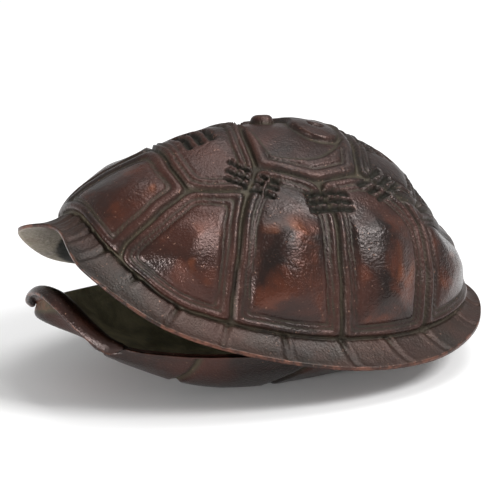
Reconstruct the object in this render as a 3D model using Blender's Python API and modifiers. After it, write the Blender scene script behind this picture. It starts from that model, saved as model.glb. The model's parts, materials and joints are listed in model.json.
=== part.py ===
# Cast bronze tortoise shell: domed upper shell with framed scutes, a disc with two commas
# and eight groups of bars on top, and a shallow lower shell joined to it at the sides.
# Built in metres, Z up, the head end towards -X, resting on the flat under the lower shell.
import math

import bmesh
import bpy
import numpy as np

for item in list(bpy.data.objects):
    bpy.data.objects.remove(item, do_unlink=True)

MM = 0.001

# ---- driving sizes, millimetres -------------------------------------------------------
CROWN = (5.0, 0.0, 70.7)        # top of the plain dome
PLAN_POWER = 2.6                # how square the dome is at its foot
HEIGHT_POWER = 1.55             # how full the dome is at its shoulder
WALL = 2.2                      # metal thickness of the dome
EDGE = 1.1                      # thickness at the outer edge
SHEET = 2.0                     # thickness of the lower shell

# half outlines, head end to tail end on the -Y side, eight equal steps
RIM = [(-66.2, 0, 52.6), (-68.2, -21.5, 46.4), (-50, -38.5, 30.5), (-24, -49.5, 20.4),
       (6, -54.5, 13.2), (34, -51.5, 10.7), (55, -40.5, 12.7), (68, -22, 15.2), (71.5, 0, 15.8)]
FOOT = [(-58.5, 0, 55.2), (-56, -18.5, 47.6), (-43, -33.5, 34.2), (-20.5, -42.5, 25.7),
        (4.5, -46.5, 19.9), (29, -44, 16.9), (50, -35.5, 16.6), (63.5, -20.5, 17.8),
        (67.5, 0, 18.4)]

SPINE = [(-48, 0.0), (-38, 0.9), (-30, 2.6), (-20, 4.6), (-8, 4.5), (4, 4.2), (16, 2.8),
         (26, 0.5), (36, 0.2), (46, -0.2), (56, 0.0)]
# hollow in the back where it turns down to the tail: where along, how long, wide and deep
SADDLE = (0.64, 0.11, 0.36, 4.6)

# seams between the scutes, as (along, across) of the dome: front -1, rear 1, edge 1
ZIGZAG = [(-0.37, 0.262), (-0.20, 0.36), (-0.132, 0.262), (0.03, 0.378), (0.185, 0.333),
          (0.33, 0.385), (0.46, 0.37), (0.72, 0.22), (0.95, 0.17)]
SEAMS = [
    [(-0.40, -0.2), (-0.39, 0.0), (-0.37, 0.262)], [(-0.09, 0.0), (-0.132, 0.262)],
    [(0.27, 0.0), (0.185, 0.333)], [(0.54, 0.0), (0.46, 0.37)],
    [(-0.37, 0.262), (-0.56, 0.325), (-0.79, 0.37), (-0.91, 0.42)],
    [(-0.20, 0.36), (-0.27, 0.472), (-0.353, 0.624), (-0.509, 0.86)],
    [(0.03, 0.378), (0.05, 0.526), (0.029, 0.735), (0.004, 1.0)],
    [(0.33, 0.385), (0.424, 0.476), (0.466, 0.648), (0.485, 0.88)],
]
# scutes that bulge: outline, bulge height, where its shoulder starts down the dome,
# and the share of the bulge above the shoulder
SCUTES = [
    ([(-0.40, -0.6), (-0.37, 0.262), (-0.56, 0.325), (-0.79, 0.37), (-0.91, 0.42),
      (-1.2, 0.5), (-1.2, -0.6)], 2.0, 0.0, 1.0),
    ([(-0.37, 0.262), (-0.20, 0.36), (-0.27, 0.472), (-0.353, 0.624), (-0.509, 0.86),
      (-0.62, 1.2), (-1.2, 1.2), (-1.2, 0.5), (-0.91, 0.42), (-0.79, 0.37), (-0.56, 0.325)],
     2.8, 0.57, 0.55),
    ([(-0.20, 0.36), (-0.132, 0.262), (0.03, 0.378), (0.05, 0.526), (0.029, 0.735),
      (0.004, 1.2), (-0.62, 1.2), (-0.509, 0.86), (-0.353, 0.624), (-0.27, 0.472)],
     2.8, 0.52, 0.2),
    ([(0.03, 0.378), (0.185, 0.333), (0.33, 0.385), (0.424, 0.476), (0.466, 0.648),
      (0.485, 0.88), (0.55, 1.2), (0.004, 1.2), (0.029, 0.735), (0.05, 0.526)],
     2.8, 0.53, 0.2),
    ([(0.33, 0.385), (0.46, 0.37), (0.72, 0.22), (0.95, 0.17), (1.2, 0.2), (1.2, 1.2),
      (0.55, 1.2), (0.485, 0.88), (0.466, 0.648), (0.424, 0.476)], 1.8, 0.0, 1.0),
    ([(0.54, -0.6), (0.54, 0.0), (0.46, 0.37), (0.72, 0.22), (0.95, 0.17), (1.2, 0.2),
      (1.2, -0.6)], 1.0, 0.0, 1.0),
]
# sunk bars: whole ones across the back, broken ones as rows of pits
ACROSS = [
    [(-0.285, 0.065), (-0.28, -0.08)], [(-0.245, 0.06), (-0.24, -0.085)],
    [(-0.205, 0.055), (-0.20, -0.09)],
    [(0.295, -0.15), (0.295, 0.15)], [(0.335, -0.15), (0.335, 0.15)],
    [(0.38, -0.15), (0.38, 0.15)],
]
BARS = [
    [(-0.188, 0.195), (-0.157, 0.262)], [(-0.209, 0.232), (-0.178, 0.298)],
    [(-0.231, 0.268), (-0.197, 0.331)],
    [(-0.134, 0.308), (-0.122, 0.320)], [(-0.107, 0.336), (-0.095, 0.348)],
    [(-0.159, 0.323), (-0.145, 0.338)], [(-0.126, 0.358), (-0.111, 0.374)],
    [(-0.185, 0.355), (-0.168, 0.372)], [(-0.150, 0.389), (-0.134, 0.406)],
    [(0.180, 0.381), (0.212, 0.361)], [(0.236, 0.328), (0.280, 0.283)],
    [(0.215, 0.405), (0.246, 0.384)], [(0.268, 0.356), (0.312, 0.308)],
    [(0.247, 0.428), (0.283, 0.395)], [(0.306, 0.371), (0.348, 0.323)],
]
for row in (0.426, 0.460, 0.493):
    for start in (-0.022, 0.016, 0.056, 0.096):
        BARS.append([(start, row), (start + 0.024, row + 0.002)])
BAR_HALF = 0.95
BAR_DEPTH = 1.2

DISC = (9.0, -1.0)
DISC_RADIUS = 18.3
PAIR = (13.0, 1.0)
PAIR_RADIUS = 15.8
PAIR_TURN = math.radians(-29.0)

# grooves between edge plates, as parts of the half outline
PLATES = [0.018, 0.055, 0.105, 0.175, 0.251, 0.326, 0.411, 0.501, 0.581, 0.662, 0.767,
          0.842, 0.925]

# lower shell half outlines, head end to tail end on the -Y side
FLAT = [(-20, 0, 0), (-17, -9, 0), (-10, -17, 0), (0, -21.5, 0), (13, -22.5, 0),
        (26, -20.5, 0), (36, -15, 0), (41.5, -8, 0), (43, 0, 0)]
BILGE = [(-49.5, 0, 11.2), (-48, -15, 11.0), (-34, -24, 5.2), (-15, -27, 2.2),
         (8, -27.0, 1.7), (28, -26, 2.3), (43, -20.5, 2.6), (51, -11.5, 2.8), (53.5, 0, 2.8)]
SIDE = [(-60.5, 0, 21.5), (-60.5, -19.5, 17.8), (-40, -31, 11.5), (-18, -36, 9), (7, -38, 7.5),
        (30, -36.5, 7.2), (47, -28, 5.6), (56.5, -15, 5.0), (60, 0, 5.0)]
CREST = [(-65.4, 0, 30.6), (-59.6, -23.4, 21.6), (-44.8, -34.5, 18.6), (-22, -41.5, 16.6),
         (5, -45, 14.5), (31, -43.5, 11.5), (50, -34, 7.5), (60, -17.5, 6.8), (63, 0, 7.2)]
LIP = [(-70.9, 0, 31.4), (-70.0, -8, 29.7), (-68.2, -14.6, 26.2), (-65.3, -20.4, 22.6),
       (-61.4, -24.9, 19.4)]
# grooves down the outside of the lower shell: (height on the wall 0 to 3, place)
FURROWS = [[(3.0, 0.136), (1.62, 0.103), (0.5, 0.078)],
           [(3.0, 0.292), (2.62, 0.28), (0.88, 0.215), (0.4, 0.19)],
           [(3.0, 0.475), (2.0, 0.442), (0.3, 0.38)]]
CORNER = 2.4                    # how far the far front corner of the wall stands forward
LIP_END = 0.134                 # where the front lip of the lower shell stops
JOIN = (0.455, 0.70)             # part of the half outline where the two shells are one


# ---- helper functions -------------------------------------------------------------------
def whole(half):
    near = np.array(half, float)
    far = near[-2:0:-1] * np.array([1.0, -1.0, 1.0])
    return np.concatenate([near, far])


def around(half, place):
    """Closed smooth curve through the half outline and its mirror image."""
    knots = whole(half)
    count = len(knots)
    where = (np.asarray(place, float) % 2.0) * count / 2.0
    i = np.floor(where).astype(int)
    t = (where - i)[..., None]
    a, b = knots[(i - 1) % count], knots[i % count]
    c, d = knots[(i + 1) % count], knots[(i + 2) % count]
    return 0.5 * (2 * b + (c - a) * t + (2 * a - 5 * b + 4 * c - d) * t ** 2
                  + (3 * b - a - 3 * c + d) * t ** 3)


ANGLES = np.linspace(0, math.pi / 2, 400)
OUT = np.sin(ANGLES) ** (2 / PLAN_POWER)
UP = np.cos(ANGLES) ** (2 / HEIGHT_POWER)
RUN = np.concatenate([[0], np.cumsum(np.hypot(np.diff(OUT), np.diff(UP) * 1.05))])
RUN = RUN / RUN[-1]

SPINE_X = np.linspace(SPINE[0][0], SPINE[-1][0], 200)
SPINE_Z = np.interp(SPINE_X, *np.array(SPINE).T)
for _ in range(60):
    SPINE_Z[1:-1] = (SPINE_Z[:-2] + SPINE_Z[1:-1] + SPINE_Z[2:]) / 3


def dome(place, down):
    foot = around(FOOT, place)
    out = np.interp(down, RUN, OUT)[..., None]
    up = np.interp(down, RUN, UP)
    top = np.array(CROWN)
    flat = top[:2] + (foot[..., :2] - top[:2]) * out
    z = foot[..., 2] + (top[2] - foot[..., 2]) * up
    lift = np.interp(flat[..., 0], SPINE_X, SPINE_Z)
    z = z + lift * np.exp(-(flat[..., 1] / 12.0) ** 2)
    along, across = -down * np.cos(math.pi * place), down * np.sin(math.pi * place)
    dent = SADDLE[3] * np.exp(-((along - SADDLE[0]) / SADDLE[1]) ** 2 - (across / SADDLE[2]) ** 2)
    flat[..., 0] -= 0.72 * dent
    z = z - 0.69 * dent
    return np.concatenate([flat, z[..., None]], -1)


def skirt(place, out):
    """Flared edge, from the foot of the dome (0) to the outer edge (1)."""
    inner, outer = around(FOOT, place), around(RIM, place)
    p = inner + (outer - inner) * np.asarray(out)[..., None]
    p[..., 2] -= 0.9 * np.sin(math.pi * np.asarray(out))
    return p


def on_dome(points):
    """Near-side points of the dome from (along, across)."""
    a = np.array(points, float)
    place = np.arctan2(a[:, 1], -a[:, 0]) / math.pi
    return dome(place, np.hypot(a[:, 0], a[:, 1]))


def finer(points, steps):
    a = np.array(points, float)
    parts = [a[:1]]
    for first, last in zip(a[:-1], a[1:]):
        t = np.linspace(0, 1, steps + 1)[1:, None]
        parts.append(first + (last - first) * t)
    return np.concatenate(parts)


def distance(points, starts, ends):
    best = np.full(len(points), 1e9)
    for a, b in zip(starts, ends):
        run = b - a
        t = np.clip(((points - a) @ run) / max(run @ run, 1e-9), 0, 1)
        gap = points - a - t[:, None] * run
        best = np.minimum(best, np.einsum("ij,ij->i", gap, gap))
    return np.sqrt(best)


def blended(gaps, soft):
    """Least of the distances, rounded where two of them are nearly the same."""
    total = sum(np.exp(-gap / soft) for gap in gaps)
    return np.maximum(-soft * np.log(np.maximum(total, 1e-30)), 0)


def inside(p, q, outline):
    hit = np.zeros(len(p), bool)
    for (x0, y0), (x1, y1) in zip(outline, np.roll(outline, -1, 0)):
        cross = (y0 > q) != (y1 > q)
        at = x0 + (q - y0) * (x1 - x0) / (y1 - y0 if y1 != y0 else 1e-9)
        hit ^= cross & (p < at)
    return hit


def bump(d, middle, half):
    t = np.clip(1 - ((d - middle) / half) ** 2, 0, 1)
    return t * t


def ease(d, low, high):
    t = np.clip((d - low) / (high - low), 0, 1)
    return t * t * (3 - 2 * t)


def band(d, low, high, soft=0.4):
    return ease(d, low - soft, low + soft) * (1 - ease(d, high - soft, high + soft))


def disc_relief(x, y):
    """Height and rim distance of the dish with its two commas, knob and eye."""
    dx, dy = x - PAIR[0], y - PAIR[1]
    a = dx * math.cos(PAIR_TURN) + dy * math.sin(PAIR_TURN)
    b = dy * math.cos(PAIR_TURN) - dx * math.sin(PAIR_TURN)
    half = PAIR_RADIUS / 2
    edge = PAIR_RADIUS - np.hypot(a, b)
    head = half - np.hypot(a - half, b)
    bay = half - np.hypot(a + half, b)
    comma = np.minimum(edge, np.maximum(np.minimum(b, -bay), head))
    dish = np.minimum(DISC_RADIUS - np.hypot(x - DISC[0], y - DISC[1]), x + 3.6 + 0.06 * y)
    h = 0.6 - 1.2 * ease(dish, -0.2, 0.7) - 0.2 * ease(dish, 0.5, 9.0)
    h = h + 1.9 * (0.8 * ease(comma, -0.2, 0.8) + 0.2 * ease(comma, 0.5, 4.0))
    h = h - 2.2 * ease(2.2 - np.hypot(a - half, b), -0.3, 0.5)
    h = h + 2.7 * ease(3.6 - np.hypot(a + half, b), 0.0, 0.7)
    return h, dish


def mirrored(place, down):
    """Both sides as (along, across) of the near side; at the head the axis leans near."""
    p = -down * np.cos(math.pi * place)
    q = -down * np.sin(math.pi * place)
    reach = np.sqrt(np.clip(1 - p ** 2, 0.0001, 1))
    lean = np.minimum(0.12 * ease(-p, 0.2, 0.4), 0.45 * reach)
    far = (q + lean) / (reach + lean)
    q = np.where(q > -lean, -lean - far * (reach - lean), q)
    return p, -q


def relief(points, place, down):
    """Height of the ornament above the plain dome or skirt, for flat arrays."""
    on_top = down < 1.0
    p, q = mirrored(place, np.minimum(down, 1.0))
    near = points * np.where(points[:, 1:2] > 0, (1, -1, 1), (1, 1, 1))
    side = np.where(on_top[:, None], dome(np.arctan2(q, -p) / math.pi, np.hypot(p, q)), near)
    runs = []
    for seam in SEAMS + [ZIGZAG[k:k + 2] for k in range(len(ZIGZAG) - 1)]:
        runs.append(on_dome(finer(seam, 5)))
    foot = around(FOOT, np.linspace(0, 1, 65))
    above = distance(side, foot[:-1], foot[1:])
    d = blended([distance(side, run[:-1], run[1:]) for run in runs] + [1.25 * above], 0.55)
    outline = [(-0.40, -0.6)] + ZIGZAG + [(1.2, 0.2), (1.2, -0.6)]
    back = inside(p, q, np.array(outline))
    third = back & inside(p, q, np.array([(-0.09, -0.4), (-0.09, 0.0), (-0.132, 0.262),
                                          (0.03, 0.378), (0.185, 0.333), (0.27, 0.0),
                                          (0.27, -0.4)]))
    first = inside(p, q, np.array(SCUTES[0][0]))
    frame = 0.75 * band(d, 1.0, 3.0) + 0.4 * bump(d, 3.9, 0.75)
    frame = np.where(back, 0.75 * band(d, 0.9, 2.7) + 0.25 * ease(d, 3.4, 4.2), frame)
    frame = np.where(first, 0.75 * band(d, 0.9, 3.9), frame)
    frame = np.where(third, 0.8 * band(d, 0.9, 4.6) + 0.6 * ease(d, 5.1, 6.0), frame)
    h = -0.75 * bump(d, 0, 1.2) + np.where(on_top, frame, 0.0)
    for outline, lift, shoulder, upper_share in SCUTES:
        within = inside(p, q, np.array(outline)) & on_top
        start = d - 4.7
        bulge = 0.34 * ease(start, -0.2, 1.9) + 0.66 * ease(start, 0.0, 10.5)
        bulge = bulge * (0.55 + 0.45 * ease(above, 3.5, 14.0))
        fall = upper_share + (1 - upper_share) * ease(np.hypot(p, q), shoulder, shoulder + 0.05)
        h = h + np.where(within, lift * bulge * fall, 0.0)
    waist = on_dome(finer(SEAMS[3], 6))
    h = h - 1.2 * np.exp(-(distance(side, waist[:-1], waist[1:]) / 5.0) ** 2) * on_top
    pits = np.zeros(len(points))
    for bar in BARS:
        line = on_dome(finer(bar, 3))
        gap = distance(side, line[:-1], line[1:])
        pits = np.maximum(pits, ease(BAR_HALF + 0.2 - gap, 0, 0.7))
    for bar in ACROSS:
        line = on_dome(finer(bar, 5))
        gap = distance(points, line[:-1], line[1:])
        pits = np.maximum(pits, ease(BAR_HALF + 0.35 - gap, 0, 0.7))
    h = h * (1 - pits) - BAR_DEPTH * pits
    disc, dish = disc_relief(points[:, 0], points[:, 1])
    share = ease(dish, -1.6, -0.4) * on_top * (down < 0.6)
    h = h * (1 - share) + disc * share
    for part in PLATES:
        ends_at = around(RIM, np.array([part]))[0]
        start_at = around(FOOT, np.array([part]))[0]
        gap = distance(side, [start_at], [ends_at])
        shallow = 1 - 0.55 * np.clip(down - 1, 0, 1)
        h = h - np.where(on_top, 0.0, 0.55 * shallow * bump(gap, 0, 1.2))
    return h


def grid_normals(grid):
    """Outward normals of rows of points that run round the shell."""
    along = np.roll(grid, -1, 1) - np.roll(grid, 1, 1)
    across = np.gradient(grid, axis=0)
    n = np.cross(along, across)
    size = np.linalg.norm(n, axis=-1, keepdims=True)
    n = n / np.maximum(size, 1e-9)
    return n


def make_mesh(name, rows, start, end):
    """Closed body lofted through rows of points, with a point at each end."""
    count = rows.shape[1]
    verts = [tuple(v * MM) for v in rows.reshape(-1, 3)]
    verts.append(tuple(np.array(start) * MM))
    verts.append(tuple(np.array(end) * MM))
    first, last = len(verts) - 2, len(verts) - 1
    faces = []
    for r in range(rows.shape[0] - 1):
        for c in range(count):
            d = (c + 1) % count
            faces.append((r * count + c, (r + 1) * count + c, (r + 1) * count + d,
                          r * count + d))
    base = (rows.shape[0] - 1) * count
    for c in range(count):
        d = (c + 1) % count
        faces.append((first, c, d))
        faces.append((last, base + d, base + c))
    mesh = bpy.data.meshes.new(name)
    mesh.from_pydata(verts, [], faces)
    mesh.update()
    tidy = bmesh.new()
    tidy.from_mesh(mesh)
    bmesh.ops.recalc_face_normals(tidy, faces=tidy.faces)
    tidy.to_mesh(mesh)
    tidy.free()
    return mesh


def place_object(mesh, name, group):
    ob = bpy.data.objects.new(name, mesh)
    group.objects.link(ob)
    return ob


def applied(ob):
    """Mesh of the object with its modifiers, then the modifiers are dropped."""
    bpy.context.view_layer.update()
    graph = bpy.context.evaluated_depsgraph_get()
    mesh = bpy.data.meshes.new_from_object(ob.evaluated_get(graph))
    ob.modifiers.clear()
    ob.data = mesh
    return ob


# ---- upper shell ------------------------------------------------------------------------
COLUMNS = 440
turn = np.linspace(0, 2, COLUMNS, endpoint=False)


def upper_rows(dome_rows, skirt_rows):
    downs = np.linspace(0, 1, dome_rows + 1)[1:]
    outs = np.linspace(0, 1, skirt_rows + 1)[1:]
    t1, d1 = np.meshgrid(turn, downs)
    t2, o2 = np.meshgrid(turn, outs)
    base = np.concatenate([dome(t1, d1), skirt(t2, o2)])
    places = np.concatenate([t1, t2])
    depth = np.concatenate([d1, 1.0 + o2])
    n = grid_normals(base)
    n = np.where(n[:1, :, 2:3] < 0, -n, n)
    h = relief(base.reshape(-1, 3), places.ravel(), depth.ravel()).reshape(depth.shape)
    h[-1] = 0
    return base + n * h[..., None]


outer = upper_rows(140, 16)
under = []
for share, thick in ((1.0, EDGE), (0.75, 1.3), (0.4, 1.7), (0.05, WALL)):
    line = skirt(turn, np.full(COLUMNS, share))
    under.append(line - np.array([0, 0, thick]))
line = skirt(turn, np.zeros(COLUMNS))
inward = (np.array(CROWN) - line) * np.array([1, 1, 0])
inward = inward / np.linalg.norm(inward, axis=1, keepdims=True)
under.append(line + 1.7 * inward - np.array([0, 0, 1.9]))
middle = np.array([CROWN[0], 0.0, 30.0])
for down in (0.9, 0.8, 0.7, 0.6, 0.5, 0.4, 0.3, 0.2, 0.1):
    line = dome(turn, np.full(COLUMNS, down))
    ahead = dome(turn, np.full(COLUMNS, down + 0.02)) - dome(turn, np.full(COLUMNS, down - 0.02))
    sideways = np.roll(line, -1, 0) - np.roll(line, 1, 0)
    n = np.cross(sideways, ahead)
    n = n / np.linalg.norm(n, axis=1, keepdims=True)
    n = np.where(((line - middle) * n).sum(1)[:, None] < 0, -n, n)
    under.append(line - n * WALL)
rows = np.concatenate([outer, np.array(under)])
top_point = dome(np.array([0.0]), np.array([0.0]))
top_lift = relief(top_point, np.array([0.0]), np.array([0.0]))[0]

body = bpy.data.collections.new("turtle_shell")
bpy.context.scene.collection.children.link(body)
cutters = bpy.data.collections.new("cutters")
bpy.context.scene.collection.children.link(cutters)

top_z = top_point[0, 2]
upper = make_mesh("turtle_shell", rows, (CROWN[0], 0, top_z + top_lift),
                  (CROWN[0], 0, top_z - WALL))
shell = place_object(upper, "turtle_shell", body)
thin = shell.modifiers.new("fewer_faces", "DECIMATE")
thin.ratio = 0.0505
applied(shell)

# ---- lower shell ------------------------------------------------------------------------
FEW = 156
part_way = np.linspace(0, 2, FEW, endpoint=False)
fold = np.minimum(part_way, 2 - part_way)


def crest_at(place):
    """Top of the wall: free at the ends, under the skirt of the upper shell at the sides."""
    near = np.minimum(place, 2 - place)
    line = around(CREST, place)
    seat = skirt(place, np.full(len(place), 0.42)) - np.array([0, 0, 0.8])
    joined = ease(near, JOIN[0] - 0.04, JOIN[0]) * (1 - ease(near, JOIN[1], JOIN[1] + 0.06))
    return line + (seat - line) * joined[:, None]


def wall(up, place):
    """Outside of the lower shell: 0 at the flat, 1 bilge, 2 side, 3 at the top."""
    flat = around(FLAT, place) * np.array([1, 1, 0])
    keys = [flat * np.array([0.8, 0.8, 0]), flat, around(BILGE, place), around(SIDE, place),
            crest_at(place)]
    keys.append(2 * keys[4] - keys[3])
    k = min(int(up), 2)
    a, b, c, d = keys[k:k + 4]
    t = up - k
    line = 0.5 * (2 * b + (c - a) * t + (2 * a - 5 * b + 4 * c - d) * t ** 2
                  + (3 * b - a - 3 * c + d) * t ** 3)
    forward = math.sin(math.pi / 2 * min(max(up - 1, 0), 1)) - 0.15 * max(up - 2, 0)
    line[:, 0] -= CORNER * bump(place, 1.875, 0.09) * forward
    return line


def furrows(points):
    """Depth of the grooves down the wall."""
    near = points * np.where(points[..., 1:2] > 0, (1, -1, 1), (1, 1, 1))
    depth = np.zeros(len(points))
    for line in FURROWS:
        steps = finer(line, 8)
        run = np.array([wall(up, np.array([at]))[0] for up, at in steps])
        depth = np.maximum(depth, 0.8 * bump(distance(near, run[:-1], run[1:]), 0, 1.5))
    return depth


def lip_edge(place):
    """Free edge of the front lip: a smooth curve through LIP and its mirror image."""
    knots = np.array(LIP, float)
    knots = np.concatenate([knots[:0:-1] * np.array([1, -1, 1]), knots])
    knots = np.concatenate([[2 * knots[0] - knots[1]], knots, [2 * knots[-1] - knots[-2]]])
    signed = np.where(place > 1, place - 2, place)
    where = np.clip((signed / LIP_END + 1) / 2, 0, 0.9999) * (2 * len(LIP) - 2)
    i = np.floor(where).astype(int)
    t = (where - i)[:, None]
    a, b, c, d = knots[i], knots[i + 1], knots[i + 2], knots[i + 3]
    return 0.5 * (2 * b + (c - a) * t + (2 * a - 5 * b + 4 * c - d) * t ** 2
                  + (3 * b - a - 3 * c + d) * t ** 3)


has_lip = (1 - ease(fold, LIP_END - 0.006, LIP_END + 0.02))[:, None]
crest = wall(3.0, part_way)
hem = crest + np.array([0, 0, 0.5])
free = hem + (lip_edge(part_way) - hem) * has_lip
roll = 0.5 * (crest + free) + np.array([-0.5, 0, 1.1]) * has_lip
flat = around(FLAT, part_way) * np.array([1, 1, 0])
sheet = [flat * np.array([0.5, 0.5, 0]) + np.array([6.5, 0, 0])]
for up in np.linspace(0, 3, 19):
    sheet.append(wall(up, part_way))
sheet = np.array(sheet + [roll, free])
out = grid_normals(sheet)
out = np.where(out[1:2, :, 2:3] > 0, -out, out)
for k in range(3, 20):
    sheet[k] -= out[k] * furrows(sheet[k])[:, None]


def open_sheet(name, lines, start):
    count = lines.shape[1]
    verts = [tuple(v * MM) for v in lines.reshape(-1, 3)]
    verts.append(tuple(np.array(start) * MM))
    faces = [(len(verts) - 1, (c + 1) % count, c) for c in range(count)]
    for r in range(lines.shape[0] - 1):
        for c in range(count):
            d = (c + 1) % count
            faces.append((r * count + c, r * count + d, (r + 1) * count + d,
                          (r + 1) * count + c))
    mesh = bpy.data.meshes.new(name)
    mesh.from_pydata(verts, [], faces)
    mesh.update()
    tidy = bmesh.new()
    tidy.from_mesh(mesh)
    bmesh.ops.recalc_face_normals(tidy, faces=tidy.faces)
    tidy.faces.ensure_lookup_table()
    if tidy.faces[0].normal.z > 0:
        bmesh.ops.reverse_faces(tidy, faces=tidy.faces)
    tidy.to_mesh(mesh)
    tidy.free()
    return mesh


lower = place_object(open_sheet("lower_shell", sheet, (13, 0, 0)), "lower_shell",
                     cutters)
skin = lower.modifiers.new("thickness", "SOLIDIFY")
skin.thickness = SHEET * MM
skin.offset = -1.0
applied(lower)
fewer = lower.modifiers.new("fewer_faces", "DECIMATE")
fewer.ratio = 0.14
applied(lower)
lower.hide_render = True
lower.display_type = "WIRE"

# ---- one casting --------------------------------------------------------------------------
join = shell.modifiers.new("cast_in_one", "BOOLEAN")
join.operation = "UNION"
join.solver = "EXACT"
join.object = lower
applied(shell)
cut = bmesh.new()
cut.from_mesh(shell.data)
bmesh.ops.remove_doubles(cut, verts=cut.verts, dist=0.001 * MM)
bmesh.ops.triangulate(cut, faces=cut.faces)
for vert in cut.verts:
    if vert.co.z < 0.15 * MM:
        vert.co.z = 0.0
cut.to_mesh(shell.data)
cut.free()

bronze = bpy.data.materials.new("patinated_bronze")
bronze.use_nodes = True
paint = bronze.node_tree.nodes["Principled BSDF"]
paint.inputs["Base Color"].default_value = (0.085, 0.035, 0.022, 1)
paint.inputs["Metallic"].default_value = 0.6
paint.inputs["Roughness"].default_value = 0.42
shell.data.materials.clear()
shell.data.materials.append(bronze)
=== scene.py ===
import json
import math

import bpy
import numpy as np
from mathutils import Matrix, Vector

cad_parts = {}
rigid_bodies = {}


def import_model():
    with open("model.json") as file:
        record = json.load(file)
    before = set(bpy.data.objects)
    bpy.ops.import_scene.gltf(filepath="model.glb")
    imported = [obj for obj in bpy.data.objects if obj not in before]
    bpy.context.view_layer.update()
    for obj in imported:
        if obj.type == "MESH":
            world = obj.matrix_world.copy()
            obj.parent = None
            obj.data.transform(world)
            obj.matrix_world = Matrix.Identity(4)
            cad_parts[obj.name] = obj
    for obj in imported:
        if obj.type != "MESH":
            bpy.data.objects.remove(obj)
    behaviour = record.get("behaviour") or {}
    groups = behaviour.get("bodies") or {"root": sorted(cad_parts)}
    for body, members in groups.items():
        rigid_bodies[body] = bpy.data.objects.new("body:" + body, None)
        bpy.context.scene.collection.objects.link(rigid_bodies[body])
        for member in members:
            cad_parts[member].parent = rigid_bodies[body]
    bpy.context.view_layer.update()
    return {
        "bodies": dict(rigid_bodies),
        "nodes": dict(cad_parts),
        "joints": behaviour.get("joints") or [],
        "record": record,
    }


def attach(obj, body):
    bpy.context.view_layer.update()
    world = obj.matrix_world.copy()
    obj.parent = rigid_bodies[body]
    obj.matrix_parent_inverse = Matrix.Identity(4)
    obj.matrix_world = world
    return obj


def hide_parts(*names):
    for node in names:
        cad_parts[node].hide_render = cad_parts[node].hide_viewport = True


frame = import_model()

MM = 0.001

# ---- sizes of the shell, millimetres ---------------------------------------------------
CROWN = (5.0, 0.0, 70.7)
PLAN_POWER = 2.6                # how full the dome is seen from above
HEIGHT_POWER = 1.55             # and seen from the side
WALL = 2.2                      # thickness of the dome
EDGE = 1.1                      # thickness of the flared edge
HALF_WIDTH = 54.5
FRONT_REACH = 71.4

# half outlines of the upper shell, head end to tail end on the -Y side: the outer edge,
# and the foot of the dome where the flared edge starts
RIM = [(-66.2, 0, 52.6), (-68.2, -21.5, 46.4), (-50, -38.5, 30.5), (-24, -49.5, 20.4),
       (6, -54.5, 13.2), (34, -51.5, 10.7), (55, -40.5, 12.7), (68, -22, 15.2), (71.5, 0, 15.8)]
FOOT = [(-58.5, 0, 55.2), (-56, -18.5, 47.6), (-43, -33.5, 34.2), (-20.5, -42.5, 25.7),
        (4.5, -46.5, 19.9), (29, -44, 16.9), (50, -35.5, 16.6), (63.5, -20.5, 17.8),
        (67.5, 0, 18.4)]

# extra height of the back along the midline: place along the shell, height
SPINE = [(-48, 0.0), (-38, 0.9), (-30, 2.6), (-20, 4.6), (-8, 4.5), (4, 4.2), (16, 2.8),
         (26, 0.5), (36, 0.2), (46, -0.2), (56, 0.0)]
# hollow in the back where it turns down to the tail: where along, how long, wide and deep
SADDLE = (0.64, 0.11, 0.36, 4.6)

# places on the dome are (along, across): along is -1 at the head end and 1 at the tail end,
# across is 0 on the midline and 1 at the foot; outlines run past 1 to cover the edge
# seam between the back scutes and the side scutes
ZIGZAG = [(-0.37, 0.262), (-0.20, 0.36), (-0.132, 0.262), (0.03, 0.378), (0.185, 0.333),
          (0.33, 0.385), (0.46, 0.37), (0.72, 0.22), (0.95, 0.17)]
# seams that leave it: to the head end, and down between the side scutes
HEAD_SEAM = [(-0.56, 0.325), (-0.79, 0.37), (-0.91, 0.42)]
DOWN_1_2 = [(-0.27, 0.472), (-0.353, 0.624), (-0.509, 0.86)]
DOWN_2_3 = [(0.05, 0.526), (0.029, 0.735), (0.004, 1.0)]
DOWN_3_4 = [(0.424, 0.476), (0.466, 0.648), (0.485, 0.88)]
WAIST = [(0.54, 0.0), ZIGZAG[6]]
SEAMS = [
    [(-0.40, -0.2), (-0.39, 0.0), ZIGZAG[0]], [(-0.09, 0.0), ZIGZAG[2]],
    [(0.27, 0.0), ZIGZAG[4]], WAIST,
    [ZIGZAG[0]] + HEAD_SEAM, [ZIGZAG[1]] + DOWN_1_2, [ZIGZAG[3]] + DOWN_2_3,
    [ZIGZAG[5]] + DOWN_3_4,
]
BACK = [(-0.40, -0.6)] + ZIGZAG + [(1.2, 0.2), (1.2, -0.6)]
FIRST_BACK = [(-0.40, -0.6), ZIGZAG[0]] + HEAD_SEAM + [(-1.2, 0.5), (-1.2, -0.6)]
THIRD_BACK = [(-0.09, -0.4), (-0.09, 0.0)] + ZIGZAG[2:5] + [(0.27, 0.0), (0.27, -0.4)]
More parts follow.
